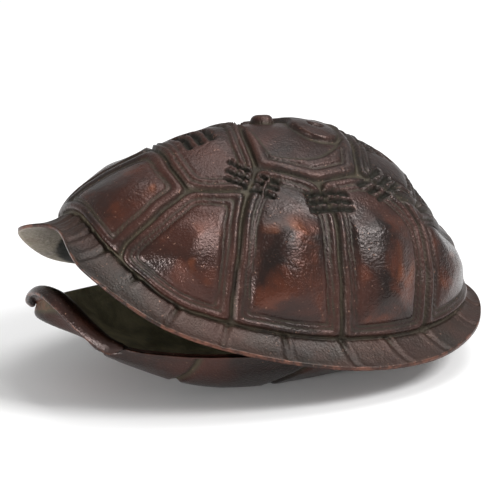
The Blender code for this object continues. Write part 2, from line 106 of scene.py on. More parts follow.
# scutes that bulge: outline, bulge height, where its shoulder starts down the dome,
# and the share of the bulge above the shoulder
SCUTES = [
    (FIRST_BACK, 2.0, 0.0, 1.0),
    (ZIGZAG[:2] + DOWN_1_2 + [(-0.62, 1.2), (-1.2, 1.2), (-1.2, 0.5)] + HEAD_SEAM[::-1],
     2.8, 0.57, 0.55),
    (ZIGZAG[1:4] + DOWN_2_3[:2] + [(0.004, 1.2), (-0.62, 1.2)] + DOWN_1_2[::-1],
     2.8, 0.52, 0.2),
    (ZIGZAG[3:6] + DOWN_3_4 + [(0.55, 1.2), (0.004, 1.2)] + DOWN_2_3[1::-1], 2.8, 0.53, 0.2),
    (ZIGZAG[5:] + [(1.2, 0.2), (1.2, 1.2), (0.55, 1.2)] + DOWN_3_4[::-1], 1.8, 0.0, 1.0),
    ([(0.54, -0.6), (0.54, 0.0)] + ZIGZAG[6:] + [(1.2, 0.2), (1.2, -0.6)], 1.0, 0.0, 1.0),
]
# sunk bars: whole ones across the back, broken ones as rows of pits
ACROSS = [
    [(-0.285, 0.065), (-0.28, -0.08)], [(-0.245, 0.06), (-0.24, -0.085)],
    [(-0.205, 0.055), (-0.20, -0.09)],
    [(0.295, -0.15), (0.295, 0.15)], [(0.335, -0.15), (0.335, 0.15)],
    [(0.38, -0.15), (0.38, 0.15)],
]
BARS = [
    [(-0.188, 0.195), (-0.157, 0.262)], [(-0.209, 0.232), (-0.178, 0.298)],
    [(-0.231, 0.268), (-0.197, 0.331)],
    [(-0.134, 0.308), (-0.122, 0.320)], [(-0.107, 0.336), (-0.095, 0.348)],
    [(-0.159, 0.323), (-0.145, 0.338)], [(-0.126, 0.358), (-0.111, 0.374)],
    [(-0.185, 0.355), (-0.168, 0.372)], [(-0.150, 0.389), (-0.134, 0.406)],
    [(0.180, 0.381), (0.212, 0.361)], [(0.236, 0.328), (0.280, 0.283)],
    [(0.215, 0.405), (0.246, 0.384)], [(0.268, 0.356), (0.312, 0.308)],
    [(0.247, 0.428), (0.283, 0.395)], [(0.306, 0.371), (0.348, 0.323)],
]
# small beads of metal left between the broken bars
BEADS = [(0.224, 0.345), (0.257, 0.370), (0.294, 0.383), (-0.114, 0.328), (-0.136, 0.348),
         (-0.159, 0.380)]
for row in (0.426, 0.460, 0.493):
    for start in (-0.022, 0.016, 0.056, 0.096):
        BARS.append([(start, row), (start + 0.024, row + 0.002)])
    for start in (0.005, 0.046, 0.086):
        BEADS.append((start, row - 0.016))
BAR_HALF = 0.95
BAR_DEPTH = 1.2
BEAD_RADIUS = 1.0

# dish on the third back scute, and the pair of commas in it
DISC = (9.0, -1.0)
DISC_RADIUS = 18.3
PAIR = (13.0, 1.0)
PAIR_RADIUS = 15.8
PAIR_TURN = math.radians(-29.0)
EYE_RADIUS = 2.2
KNOB_RADIUS = 3.6

# grooves between the plates of the flared edge, as parts of the half outline
PLATES = [0.018, 0.055, 0.105, 0.175, 0.251, 0.326, 0.411, 0.501, 0.581, 0.662, 0.767,
          0.842, 0.925]

# half outlines of the lower shell, head end to tail end on the -Y side, from the flat that
# it stands on up to the top of its wall; LIP is the free edge of the front lip
FLAT = [(-20, 0, 0), (-17, -9, 0), (-10, -17, 0), (0, -21.5, 0), (13, -22.5, 0),
        (26, -20.5, 0), (36, -15, 0), (41.5, -8, 0), (43, 0, 0)]
BILGE = [(-49.5, 0, 11.2), (-48, -15, 11.0), (-34, -24, 5.2), (-15, -27, 2.2),
         (8, -27.0, 1.7), (28, -26, 2.3), (43, -20.5, 2.6), (51, -11.5, 2.8), (53.5, 0, 2.8)]
SIDE = [(-60.5, 0, 21.5), (-60.5, -19.5, 17.8), (-40, -31, 11.5), (-18, -36, 9), (7, -38, 7.5),
        (30, -36.5, 7.2), (47, -28, 5.6), (56.5, -15, 5.0), (60, 0, 5.0)]
CREST = [(-65.4, 0, 30.6), (-59.6, -23.4, 21.6), (-44.8, -34.5, 18.6), (-22, -41.5, 16.6),
         (5, -45, 14.5), (31, -43.5, 11.5), (50, -34, 7.5), (60, -17.5, 6.8), (63, 0, 7.2)]
LIP = [(-70.9, 0, 31.4), (-70.0, -8, 29.7), (-68.2, -14.6, 26.2), (-65.3, -20.4, 22.6),
       (-61.4, -24.9, 19.4)]
# grooves down the outside of the lower shell: (height on the wall 0 to 3, place)
FURROWS = [[(3.0, 0.136), (1.62, 0.103), (0.5, 0.078)],
           [(3.0, 0.292), (2.62, 0.28), (0.88, 0.215), (0.4, 0.19)],
           [(3.0, 0.475), (2.0, 0.442), (0.3, 0.38)]]
CORNER = 2.4                    # how far the far front corner of the wall stands forward
LIP_END = 0.134                 # where the front lip stops
JOIN = (0.455, 0.70)            # part of the half outline where the two shells are one
SHEET = 2.0                     # thickness of the lower shell


# ---- curves and surfaces ------------------------------------------------------------------
def whole(half):
    """Half outline followed by its mirror image."""
    near = np.array(half, float)
    far = near[-2:0:-1] * np.array([1.0, -1.0, 1.0])
    return np.concatenate([near, far])


def curve(a, b, c, d, t):
    """Smooth run from b to c, with a before and d after them."""
    return 0.5 * (2 * b + (c - a) * t + (2 * a - 5 * b + 4 * c - d) * t ** 2
                  + (3 * b - a - 3 * c + d) * t ** 3)


def around(half, place):
    """Closed smooth curve through the half outline and its mirror image."""
    knots = whole(half)
    count = len(knots)
    where = (np.asarray(place, float) % 2.0) * count / 2.0
    i = np.floor(where).astype(int)
    t = (where - i)[..., None]
    return curve(knots[(i - 1) % count], knots[i % count], knots[(i + 1) % count],
                 knots[(i + 2) % count], t)


# profile of the dome against the length run down it
ANGLES = np.linspace(0, math.pi / 2, 400)
OUT = np.sin(ANGLES) ** (2 / PLAN_POWER)
UP = np.cos(ANGLES) ** (2 / HEIGHT_POWER)
RUN = np.concatenate([[0], np.cumsum(np.hypot(np.diff(OUT), np.diff(UP) * 1.05))])
RUN = RUN / RUN[-1]

# the raised midline, smoothed
SPINE_X = np.linspace(SPINE[0][0], SPINE[-1][0], 200)
SPINE_Z = np.interp(SPINE_X, *np.array(SPINE).T)
for _ in range(60):
    SPINE_Z[1:-1] = (SPINE_Z[:-2] + SPINE_Z[1:-1] + SPINE_Z[2:]) / 3


def dome(place, down):
    """Dome from the crown (0) to its foot (1), at a place 0 to 2 round the shell."""
    foot = around(FOOT, place)
    out = np.interp(down, RUN, OUT)[..., None]
    up = np.interp(down, RUN, UP)
    top = np.array(CROWN)
    flat = top[:2] + (foot[..., :2] - top[:2]) * out
    z = foot[..., 2] + (top[2] - foot[..., 2]) * up
    lift = np.interp(flat[..., 0], SPINE_X, SPINE_Z)
    z = z + lift * np.exp(-(flat[..., 1] / 12.0) ** 2)
    along, across = -down * np.cos(math.pi * place), down * np.sin(math.pi * place)
    dent = SADDLE[3] * np.exp(-((along - SADDLE[0]) / SADDLE[1]) ** 2 - (across / SADDLE[2]) ** 2)
    flat[..., 0] -= 0.72 * dent
    z = z - 0.69 * dent
    return np.concatenate([flat, z[..., None]], -1)


def skirt(place, out):
    """Flared edge, from the foot of the dome (0) to the outer edge (1)."""
    inner, outer = around(FOOT, place), around(RIM, place)
    p = inner + (outer - inner) * np.asarray(out)[..., None]
    p[..., 2] -= 0.9 * np.sin(math.pi * np.asarray(out))
    return p


def on_dome(points):
    """Near-side points of the dome from (along, across)."""
    a = np.array(points, float)
    place = np.arctan2(a[:, 1], -a[:, 0]) / math.pi
    return dome(place, np.hypot(a[:, 0], a[:, 1]))


def finer(points, steps):
    """Line through the points with more points between them."""
    a = np.array(points, float)
    parts = [a[:1]]
    for first, last in zip(a[:-1], a[1:]):
        t = np.linspace(0, 1, steps + 1)[1:, None]
        parts.append(first + (last - first) * t)
    return np.concatenate(parts)


def distance(points, starts, ends):
    """Distance of each point to the nearest of the straight pieces."""
    best = np.full(len(points), 1e9)
    for a, b in zip(starts, ends):
        run = b - a
        t = np.clip(((points - a) @ run) / max(run @ run, 1e-9), 0, 1)
        gap = points - a - t[:, None] * run
        best = np.minimum(best, np.einsum("ij,ij->i", gap, gap))
    return np.sqrt(best)


def blended(gaps, soft):
    """Least of the distances, rounded where two of them are nearly the same."""
    total = sum(np.exp(-gap / soft) for gap in gaps)
    return np.maximum(-soft * np.log(np.maximum(total, 1e-30)), 0)


def inside(p, q, outline):
    """Which of the places (p, q) lie within the outline."""
    hit = np.zeros(len(p), bool)
    for (x0, y0), (x1, y1) in zip(outline, np.roll(outline, -1, 0)):
        cross = (y0 > q) != (y1 > q)
        at = x0 + (q - y0) * (x1 - x0) / (y1 - y0 if y1 != y0 else 1e-9)
        hit ^= cross & (p < at)
    return hit


def bump(d, middle, half):
    """1 at the middle, falling smoothly to 0 on both sides."""
    t = np.clip(1 - ((d - middle) / half) ** 2, 0, 1)
    return t * t


def ease(d, low, high):
    """Smooth step from 0 at low to 1 at high."""
    t = np.clip((d - low) / (high - low), 0, 1)
    return t * t * (3 - 2 * t)


def roll(d, low, high):
    """Rounded ridge between two distances."""
    return np.clip(1 - ((2 * d - low - high) / (high - low)) ** 2, 0, 1) ** 0.8


def wander(points, size, seed):
    """Smooth random field, about -1 to 1, with lumps of the given size."""
    cells = np.random.default_rng(seed).uniform(-1, 1, (24, 24, 24))
    at = points / size
    i = np.floor(at).astype(int)
    t = at - i
    t = t * t * (3 - 2 * t)
    total = np.zeros(len(points))
    for x in (0, 1):
        for y in (0, 1):
            for z in (0, 1):
                share = np.abs(1 - x - t[:, 0]) * np.abs(1 - y - t[:, 1]) * np.abs(1 - z - t[:, 2])
                total += share * cells[(i[:, 0] + x) % 24, (i[:, 1] + y) % 24, (i[:, 2] + z) % 24]
    return total


# ---- relief of the upper shell ------------------------------------------------------------
def disc_relief(x, y):
    """Height, depth inside the dish, and sunk edges of its two commas, knob and eye."""
    dx, dy = x - PAIR[0], y - PAIR[1]
    a = dx * math.cos(PAIR_TURN) + dy * math.sin(PAIR_TURN)
    b = dy * math.cos(PAIR_TURN) - dx * math.sin(PAIR_TURN)
    half = PAIR_RADIUS / 2
    edge = PAIR_RADIUS - np.hypot(a, b)
    head = half - np.hypot(a - half, b)
    bay = half - np.hypot(a + half, b)
    comma = np.minimum(edge, np.maximum(np.minimum(b, -bay), head))
    eye = EYE_RADIUS - np.hypot(a - half, b)
    knob = np.hypot(a + half, b) / KNOB_RADIUS
    dish = np.minimum(DISC_RADIUS - np.hypot(x - DISC[0], y - DISC[1]), x + 3.6 + 0.06 * y)
    h = 0.9 - 1.5 * roll(np.clip(dish, -0.4, 0.8), -0.4, 2.0) - 0.2 * ease(dish, 0.5, 9.0)
    h = h + 2.1 * (0.8 * ease(comma, -0.2, 0.8) + 0.2 * ease(comma, 0.5, 4.0))
    h = h - 2.2 * ease(eye, -0.3, 0.5)
    h = h + 2.7 * np.clip(1 - knob ** 4, 0, 1) ** 0.5 * (knob < 1)
    low = np.maximum(bump(comma, -0.6, 1.1), bump(dish, 0.8, 1.0))
    low = np.maximum(low, np.maximum(ease(eye, -0.2, 0.6), bump(knob * KNOB_RADIUS, 4.0, 0.8)))
    return h, dish, low


def mirrored(place, down):
    """Points of either side brought to the near side; at the head the axis leans near."""
    p = -down * np.cos(math.pi * place)
    q = -down * np.sin(math.pi * place)
    reach = np.sqrt(np.clip(1 - p ** 2, 0.0001, 1))
    lean = np.minimum(0.12 * ease(-p, 0.2, 0.4), 0.45 * reach)
    far = (q + lean) / (reach + lean)
    q = np.where(q > -lean, -lean - far * (reach - lean), q)
    return p, -q


def frames(d, back, first, third):
    """Ridges along the seams, by distance from them and by kind of scute."""
    side_frame = 0.95 * roll(d, 0.5, 3.1) + 0.5 * bump(d, 3.9, 0.8) - 0.35 * bump(d, 4.7, 0.55)
    frame = np.where(back, 0.85 * roll(d, 0.6, 2.7) + 0.75 * roll(d, 2.7, 4.7)
                     + 0.3 * ease(d, 5.0, 5.4), side_frame)
    frame = np.where(first, 0.9 * roll(d, 0.6, 3.9) + 0.45 * bump(d, 4.75, 0.75), frame)
    return np.where(third, 1.0 * roll(d, 0.6, 4.6) - 0.3 * bump(d, 4.75, 0.5)
                    + 0.9 * roll(np.minimum(d, 6.4), 4.8, 8.0), frame)


def sunk_bars(points, side, shake):
    """How deep each point lies in a bar, with 1 at a bar's full depth."""
    pits = np.zeros(len(points))
    for bar in BARS:
        line = on_dome(finer(bar, 3))
        gap = distance(side, line[:-1], line[1:])
        pits = np.maximum(pits, ease(BAR_HALF + 0.2 - gap, 0, 0.7))
    for bar in ACROSS:
        line = on_dome(finer(bar, 5))
        gap = distance(points + shake, line[:-1], line[1:])
        pits = np.maximum(pits, 1.25 * ease(BAR_HALF + 0.45 - gap, 0, 0.6))
    return pits


def bead_heights(side):
    """Small round beads, 0 to 1."""
    beads = np.zeros(len(side))
    for centre in on_dome(BEADS):
        gap = np.linalg.norm(side - centre, axis=1)
        beads = np.maximum(beads, np.sqrt(np.clip(1 - (gap / BEAD_RADIUS) ** 2, 0, 1)))
    return beads


def relief(points, place, down):
    """Height of the ornament, and how much of each point is groove, field and pit."""
    shake = 0.3 * np.stack([wander(points, 6, 3), wander(points, 6, 4),
                            wander(points, 6, 5)], 1)
    on_top = down < 1.0
    p, q = mirrored(place, np.minimum(down, 1.0))
    side = np.where(on_top[:, None], dome(np.arctan2(q, -p) / math.pi, np.hypot(p, q)),
                    points * np.where(points[:, 1:2] > 0, (1, -1, 1), (1, 1, 1))) + shake
    runs = []
    for seam in SEAMS + [ZIGZAG[k:k + 2] for k in range(len(ZIGZAG) - 1)]:
        runs.append(on_dome(finer(seam, 5)))
    foot = around(FOOT, np.linspace(0, 1, 65))
    above = distance(side, foot[:-1], foot[1:])
    d = blended([distance(side, run[:-1], run[1:]) for run in runs] + [1.25 * above], 0.55)
    back = inside(p, q, np.array(BACK))
    third = back & inside(p, q, np.array(THIRD_BACK))
    first = inside(p, q, np.array(FIRST_BACK))
    frame = frames(d, back, first, third)
    h = -0.75 * bump(d, 0, 1.2) + np.where(on_top, frame, 0.0)
    groove = bump(d, 0, 1.5)
    thin = np.where(third, 4.75, np.where(back, 2.7, np.where(first, 3.95, 3.2)))
    lines = np.maximum(bump(d, thin, 0.55), np.where(third, 0, bump(d, 4.75, 0.5)))
    groove = np.maximum(groove, np.where(on_top, 0.8 * lines, 0))
    field = np.zeros(len(points))
    start = d - 4.7
    bulge = 0.34 * ease(start, -0.2, 1.9) + 0.66 * ease(start, 0.0, 10.5)
    bulge = bulge * (0.55 + 0.45 * ease(above, 3.5, 14.0))
    for outline, lift, shoulder, upper_share in SCUTES:
        within = inside(p, q, np.array(outline)) & on_top
        past = ease(np.hypot(p, q), shoulder - 0.02, shoulder + 0.08)
        fall = upper_share + (1 - upper_share) * past
        h = h + np.where(within, lift * bulge * fall, 0.0)
        field = np.maximum(field, ease(start, 0.0, 3.0) * fall * within)
    waist = on_dome(finer(WAIST, 6))
    h = h - 1.2 * np.exp(-(distance(side, waist[:-1], waist[1:]) / 5.0) ** 2) * on_top
    pits = sunk_bars(points, side, shake)
    h = h * np.clip(1 - pits, 0, 1) - BAR_DEPTH * pits
    pits = np.clip(pits, 0, 1)
    h = h + 0.5 * bead_heights(side)
    disc, dish, low = disc_relief(points[:, 0] + shake[:, 0], points[:, 1] + shake[:, 1])
    share = ease(dish, -1.0, 0.0) * on_top * (down < 0.6)
    h = h * (1 - share) + disc * share
    groove = np.maximum(groove * (1 - share), low * share)
    shallow = 1 - 0.4 * np.clip(down - 1, 0, 1)
    for part in PLATES:
        ends_at = around(RIM, np.array([part]))[0]
        start_at = around(FOOT, np.array([part]))[0]
        gap = distance(side, [start_at], [ends_at])
        h = h - np.where(on_top, 0.0, 0.8 * shallow * bump(gap, 0, 1.2))
        h = h + np.where(on_top, 0.0, 0.25 * shallow * bump(gap, 2.0, 1.0))
        groove = np.maximum(groove, np.where(on_top, 0.0, shallow * bump(gap, 0, 1.0)))
    h = h + 0.10 * wander(points, 5.0, 11) + 0.06 * wander(points, 2.2, 12)
    return h, groove, field, pits


def grid_normals(grid):
    """Unit normals of a grid of points that runs round."""
    along = np.roll(grid, -1, 1) - np.roll(grid, 1, 1)
    across = np.gradient(grid, axis=0)
    n = np.cross(along, across)
    return n / np.maximum(np.linalg.norm(n, axis=-1, keepdims=True), 1e-9)


def spread(a, rows, columns):
    """Mean over neighbours in a grid that runs round."""
    for _ in range(rows):
        up, dn = np.vstack([a[:1], a[:-1]]), np.vstack([a[1:], a[-1:]])
        a = (up + a + dn) / 3
    for _ in range(columns):
        a = (np.roll(a, 1, 1) + a + np.roll(a, -1, 1)) / 3
    return a


def lofted(name, rows, start, end, masks, inner_from):
    """Closed body through rows of points, with named masks on its points.

    From row inner_from on, the faces take the material of the inside.
    """
    count = rows.shape[1]
    verts = np.concatenate([rows.reshape(-1, 3), [start, end]]) * MM
    first, last = len(verts) - 2, len(verts) - 1
    c = np.arange(count)
    d = (c + 1) % count
    quads = []
    for r in range(rows.shape[0] - 1):
        quads.append(np.stack([r * count + c, (r + 1) * count + c, (r + 1) * count + d,
                               r * count + d], 1))
    quads = np.concatenate(quads)
    base = (rows.shape[0] - 1) * count
    caps = np.concatenate([np.stack([np.full(count, first), c, d], 1),
                           np.stack([np.full(count, last), base + d, base + c], 1)])
    mesh = bpy.data.meshes.new(name)
    mesh.from_pydata(verts.tolist(), [], quads.tolist() + caps.tolist())
    mesh.update()
    for key, values in masks.items():
        flat = np.concatenate([values.ravel(), [values[0].mean(), values[-1].mean()]])
        mesh.attributes.new(key, "FLOAT", "POINT").data.foreach_set(
            "value", flat.astype(np.float32))
    slots = np.zeros(len(mesh.polygons), np.int32)
    slots[inner_from * count:len(quads)] = 1
    slots[-count:] = 1
    mesh.polygons.foreach_set("material_index", slots)
    mesh.polygons.foreach_set("use_smooth", np.ones(len(mesh.polygons), bool))
    piece = bpy.data.objects.new(name, mesh)
    bpy.context.scene.collection.objects.link(piece)
    return piece


# ---- upper shell ------------------------------------------------------------------------
COLUMNS = 560
DOME_ROWS, SKIRT_ROWS = 128, 18
EDGE_SHADE_AND_RESIDUE = 0.32                # share of the grooves' colour that covers the whole edge: painted shade on the up-facing edge, and residue
# underside of the flared edge: place from the dome (0) to the outer edge (1), and thickness
UNDERSIDE = [(1.0, 0.55), (1.0, EDGE), (0.88, 1.2), (0.75, 1.3), (0.64, 1.45), (0.52, 1.55),
             (0.4, 1.7), (0.28, 1.87), (0.16, 2.03), (0.05, WALL)]
INSIDE_ROWS = (0.95, 0.9, 0.85, 0.8, 0.7, 0.6, 0.5, 0.4, 0.3, 0.2, 0.1)
# painted shade inside behind the front lip: places round the shell, and where on the edge it
# starts
SHADE_PLACES = (0.17, 0.20, 0.22, 0.25, 0.28, 0.31)
SHADE_FROM = (-0.1, 0.22, 0.40, 0.58, 0.72, 0.88)


def underside(turn):
    """Rows from the outer edge back to the dome, and on up the inside of the dome."""
    count = len(turn)
    under = []
    for share, thick in UNDERSIDE:
        under.append(skirt(turn, np.full(count, share)) - np.array([0, 0, thick]))
    line = skirt(turn, np.zeros(count))
    inward = (np.array(CROWN) - line) * np.array([1, 1, 0])
    inward = inward / np.linalg.norm(inward, axis=1, keepdims=True)
    under.append(line + 1.7 * inward - np.array([0, 0, 1.9]))
    middle = np.array([CROWN[0], 0.0, 30.0])
    step = 0.02
    for down in INSIDE_ROWS:
        line = dome(turn, np.full(count, down))
        ahead = dome(turn, np.full(count, down + step)) - dome(turn, np.full(count, down - step))
        sideways = np.roll(line, -1, 0) - np.roll(line, 1, 0)
        n = np.cross(sideways, ahead)
        n = n / np.linalg.norm(n, axis=1, keepdims=True)
        n = np.where(((line - middle) * n).sum(1)[:, None] < 0, -n, n)
        under.append(line - n * WALL)
    return np.array(under)


def upper_shell():
    """Dome and flared edge, carved with the relief, as one closed body."""
    turn = np.linspace(0, 2, COLUMNS, endpoint=False)
    downs = np.linspace(0, 1, DOME_ROWS + 1)[1:]
    outs = np.linspace(0, 1, SKIRT_ROWS + 1)[1:]
    t1, d1 = np.meshgrid(turn, downs)
    t2, o2 = np.meshgrid(turn, outs)
    base = np.concatenate([dome(t1, d1), skirt(t2, o2)])
    places = np.concatenate([t1, t2])
    depth = np.concatenate([d1, 1.0 + o2])
    normals = grid_normals(base)
    normals = np.where(normals[:1, :, 2:3] < 0, -normals, normals)
    h, groove, field, pits = [a.reshape(depth.shape) for a in
                              relief(base.reshape(-1, 3), places.ravel(), depth.ravel())]
    # painted shade and residue over the whole flared edge, carried in the groove mask
    groove = np.maximum(groove, EDGE_SHADE_AND_RESIDUE * ease(depth, 0.99, 1.05))
    h = h * np.clip((2.0 - depth) / 0.12, 0, 1)
    outer = base + normals * h[..., None]
    proud = np.clip((h - spread(h, 4, 4)) * 4.0, -1, 1)
    under = underside(turn)
    rows = np.concatenate([outer, under])
    rows[..., 1] = np.clip(rows[..., 1], -HALF_WIDTH, HALF_WIDTH)
    none = np.zeros(under.shape[:2])
    rub = np.concatenate([ease(depth, 1.965, 1.995), none])
    rub[len(outer):len(outer) + len(UNDERSIDE)] = 1.0
    # painted shade: the underside behind the front lip and the whole inside of the dome are
    # coloured near black through the pit mask
    shade_from = np.interp(np.minimum(turn, 2 - turn), SHADE_PLACES, SHADE_FROM)
    deep = np.ones(under.shape[:2])
    for row, (share, _) in enumerate(UNDERSIDE):
        deep[row] = ease(shade_from - share, -0.07, 0.05)
    deep[len(UNDERSIDE)] = 0.5
    masks = {"groove": np.concatenate([groove, none]), "field": np.concatenate([field, none]),
             "pit": np.concatenate([pits, deep]), "proud": np.concatenate([proud, none]),
             "rub": rub}
    top_z = float(dome(np.array([0.0]), np.array([0.0]))[0, 2])
    tip_z = outer[0].mean(0)[2]
    return lofted("upper_shell", rows, (CROWN[0], 0, tip_z), (CROWN[0], 0, top_z - WALL),
                  masks, len(outer) + 1)


# ---- lower shell ------------------------------------------------------------------------
LOWER_COLUMNS = 420
WALL_ROWS, LIP_ROWS = 61, 10
SMOOTH_ROWS = 8                 # rows from the middle of the flat that no groove reaches


def crest_at(place):
    """Top of the wall: free at the ends, under the skirt of the upper shell at the sides."""
    near = np.minimum(place, 2 - place)
    line = around(CREST, place)
    seat = skirt(place, np.full(len(place), 0.42)) - np.array([0, 0, 0.8])
    joined = ease(near, JOIN[0] - 0.04, JOIN[0]) * (1 - ease(near, JOIN[1], JOIN[1] + 0.06))
    return line + (seat - line) * joined[:, None]


def wall(up, place):
    """Outside of the lower shell: 0 at the flat, 1 bilge, 2 side, 3 at the top."""
    flat = around(FLAT, place) * np.array([1, 1, 0])
    keys = [flat * np.array([0.8, 0.8, 0]), flat, around(BILGE, place), around(SIDE, place),
            crest_at(place)]
    keys.append(2 * keys[4] - keys[3])
    k = min(int(up), 2)
    line = curve(keys[k], keys[k + 1], keys[k + 2], keys[k + 3], up - k)
    forward = math.sin(math.pi / 2 * min(max(up - 1, 0), 1)) - 0.15 * max(up - 2, 0)
    line[:, 0] -= CORNER * bump(place, 1.875, 0.09) * forward
    return line


def furrows(points, half):
    """Nearness to the grooves down the wall, 0 to 1."""
    near = points * np.where(points[..., 1:2] > 0, (1, -1, 1), (1, 1, 1))
    depth = np.zeros(len(points))
    for line in FURROWS:
        run = np.array([wall(up, np.array([at]))[0] for up, at in finer(line, 8)])
        depth = np.maximum(depth, bump(distance(near, run[:-1], run[1:]), 0, half))
    return depth


def lip_edge(place):
    """Free edge of the front lip: a smooth curve through LIP and its mirror image."""
    knots = np.array(LIP, float)
    knots = np.concatenate([knots[:0:-1] * np.array([1, -1, 1]), knots])
    knots = np.concatenate([[2 * knots[0] - knots[1]], knots, [2 * knots[-1] - knots[-2]]])
    signed = np.where(place > 1, place - 2, place)
    where = np.clip((signed / LIP_END + 1) / 2, 0, 0.9999) * (2 * len(LIP) - 2)
    i = np.floor(where).astype(int)
    return curve(knots[i], knots[i + 1], knots[i + 2], knots[i + 3], (where - i)[:, None])


def lower_shell():
    """Flat, wall and front lip, with the grooves down the wall, as one closed body."""
    turn = np.linspace(0, 2, LOWER_COLUMNS, endpoint=False)
    fold = np.minimum(turn, 2 - turn)
    has_lip = (1 - ease(fold, LIP_END - 0.006, LIP_END + 0.02))[:, None]
    crest = wall(3.0, turn)
    hem = crest + np.array([0, 0, 0.5])
    free = hem + (lip_edge(turn) - hem) * has_lip
    flat = around(FLAT, turn) * np.array([1, 1, 0])
    sheet = [flat * np.array([0.5, 0.5, 0]) + np.array([6.5, 0, 0])]
    for up in np.linspace(0, 3, WALL_ROWS):
        sheet.append(wall(up, turn))
    walls = len(sheet)
    for t in np.linspace(0, 1, LIP_ROWS + 1)[1:]:
        line = crest + (free - crest) * t
        sheet.append(line + np.array([-0.6, 0, 1.5]) * has_lip * math.sin(math.pi * t))
    sheet = np.array(sheet)
    count = len(sheet)
    face = grid_normals(sheet)
    face = np.where(face[1:2, :, 2:3] > 0, -face, face)
    cuts = furrows(sheet.reshape(-1, 3), 1.9).reshape(sheet.shape[:2])
    cuts[:SMOOTH_ROWS] = 0
    cuts[walls:] *= np.linspace(0.6, 0, count - walls)[:, None]
    shake = wander(sheet.reshape(-1, 3), 6.0, 21).reshape(sheet.shape[:2])
    dimple = 0.10 * shake - 1.0 * cuts
    dimple[:3] = 0
    thick = np.full(count, SHEET)
    thick[walls:] = np.linspace(1.9, 1.1, count - walls)
    top_side = sheet - face * thick[:, None, None]
    sheet = sheet + face * dimple[..., None]
    edge = 0.5 * (sheet[-1] + top_side[-1]) + (sheet[-1] - sheet[-2]) * 0.3
    rows = np.concatenate([sheet, [edge], top_side[::-1]])
    rows[..., 0] = np.maximum(rows[..., 0], -FRONT_REACH)
    none = np.zeros(rows.shape[:2])
    groove = none.copy()
    groove[:count] = cuts
    ups = np.linspace(0, 3, walls - 1)[:, None]
    # painted shade and olive dirt on the wall under the front lip, through the groove mask
    shade_and_dirt_under_lip = ease(ups, 2.1, 2.4) * (1 - ease(ups, 2.85, 3.0)) * (1 - ease(fold, 0.09, 0.12))
    groove[1:walls] = np.maximum(groove[1:walls], shade_and_dirt_under_lip)
    rub = none.copy()
    rub[walls - 12:count - 1] = 0.6 * has_lip[:, 0]
    rub[count - 1:count + 2] = 1.0
    masks = {"groove": groove, "field": none, "pit": none, "proud": none, "rub": rub}
    return lofted("lower_shell", rows, (13, 0, 0), (13, 0, SHEET), masks, 2 * count + 1 - walls)


# ---- materials ----------------------------------------------------------------------------
# colours of the outside
BASE_DARK, BASE_LIGHT = (0.012, 0.006, 0.0045), (0.042, 0.013, 0.008)
WARM_FIELD = (0.082, 0.021, 0.009)
HOT_SPOT = (0.21, 0.055, 0.013)
RAISED = (0.075, 0.038, 0.028)
# dark of the grooves, also used as painted shade on the flared edge and under the front lip
GROOVE = (0.013, 0.010, 0.006)
RESIDUE = (0.066, 0.052, 0.028)
PIT = (0.014, 0.013, 0.008)
SPECKLE = (0.30, 0.17, 0.12)
RUBBED = (0.15, 0.058, 0.035)
# colours of the inside: grey-green, made lighter to stand in for light in the hollow (painted
# light)
INSIDE_DARK, INSIDE_LIGHT = (0.26, 0.235, 0.15), (0.55, 0.50, 0.33)
INSIDE_GREY = (0.24, 0.24, 0.19)
RIM_BROWN = (0.085, 0.069, 0.058)
RIM_DUST = (0.27, 0.235, 0.21)
RUST = (0.10, 0.045, 0.025)
# painted shade far inside the shell
PAINTED_SHADE = (0.006, 0.0055, 0.004)


class Nodes:
    """Short ways to add nodes and links to one tree."""

    def __init__(self, tree):
        self.tree = tree

    def add(self, kind, **values):
        node = self.tree.nodes.new(kind)
        for key, value in values.items():
            setattr(node, key, value)
        return node

    def link(self, a, b):
        self.tree.links.new(a, b)

    def feed(self, socket, value):
        if isinstance(value, bpy.types.NodeSocket):
            self.link(value, socket)
        else:
            socket.default_value = value

    def noise(self, where, scale, detail=3.0, rough=0.5, warp=0.0):
        node = self.add("ShaderNodeTexNoise")
        self.link(where, node.inputs["Vector"])
        node.inputs["Scale"].default_value = scale
        node.inputs["Detail"].default_value = detail
        node.inputs["Roughness"].default_value = rough
        node.inputs["Distortion"].default_value = warp
        return node.outputs["Fac"]

    def math(self, kind, a, b=0.0, clamp=False):
        node = self.add("ShaderNodeMath", operation=kind, use_clamp=clamp)
        self.feed(node.inputs[0], a)
        self.feed(node.inputs[1], b)
        return node.outputs[0]

    def span(self, value, low, high, to_low=0.0, to_high=1.0):
        node = self.add("ShaderNodeMapRange", interpolation_type="SMOOTHSTEP")
        self.link(value, node.inputs["Value"])
        node.inputs["From Min"].default_value = low
        node.inputs["From Max"].default_value = high
        node.inputs["To Min"].default_value = to_low
        node.inputs["To Max"].default_value = to_high
        return node.outputs["Result"]

    def mix(self, share, a, b):
        node = self.add("ShaderNodeMix", data_type="RGBA")
        self.feed(node.inputs[0], share)
        self.feed(node.inputs[6], a if isinstance(a, bpy.types.NodeSocket) else (*a, 1))
        self.feed(node.inputs[7], b if isinstance(b, bpy.types.NodeSocket) else (*b, 1))
        return node.outputs[2]


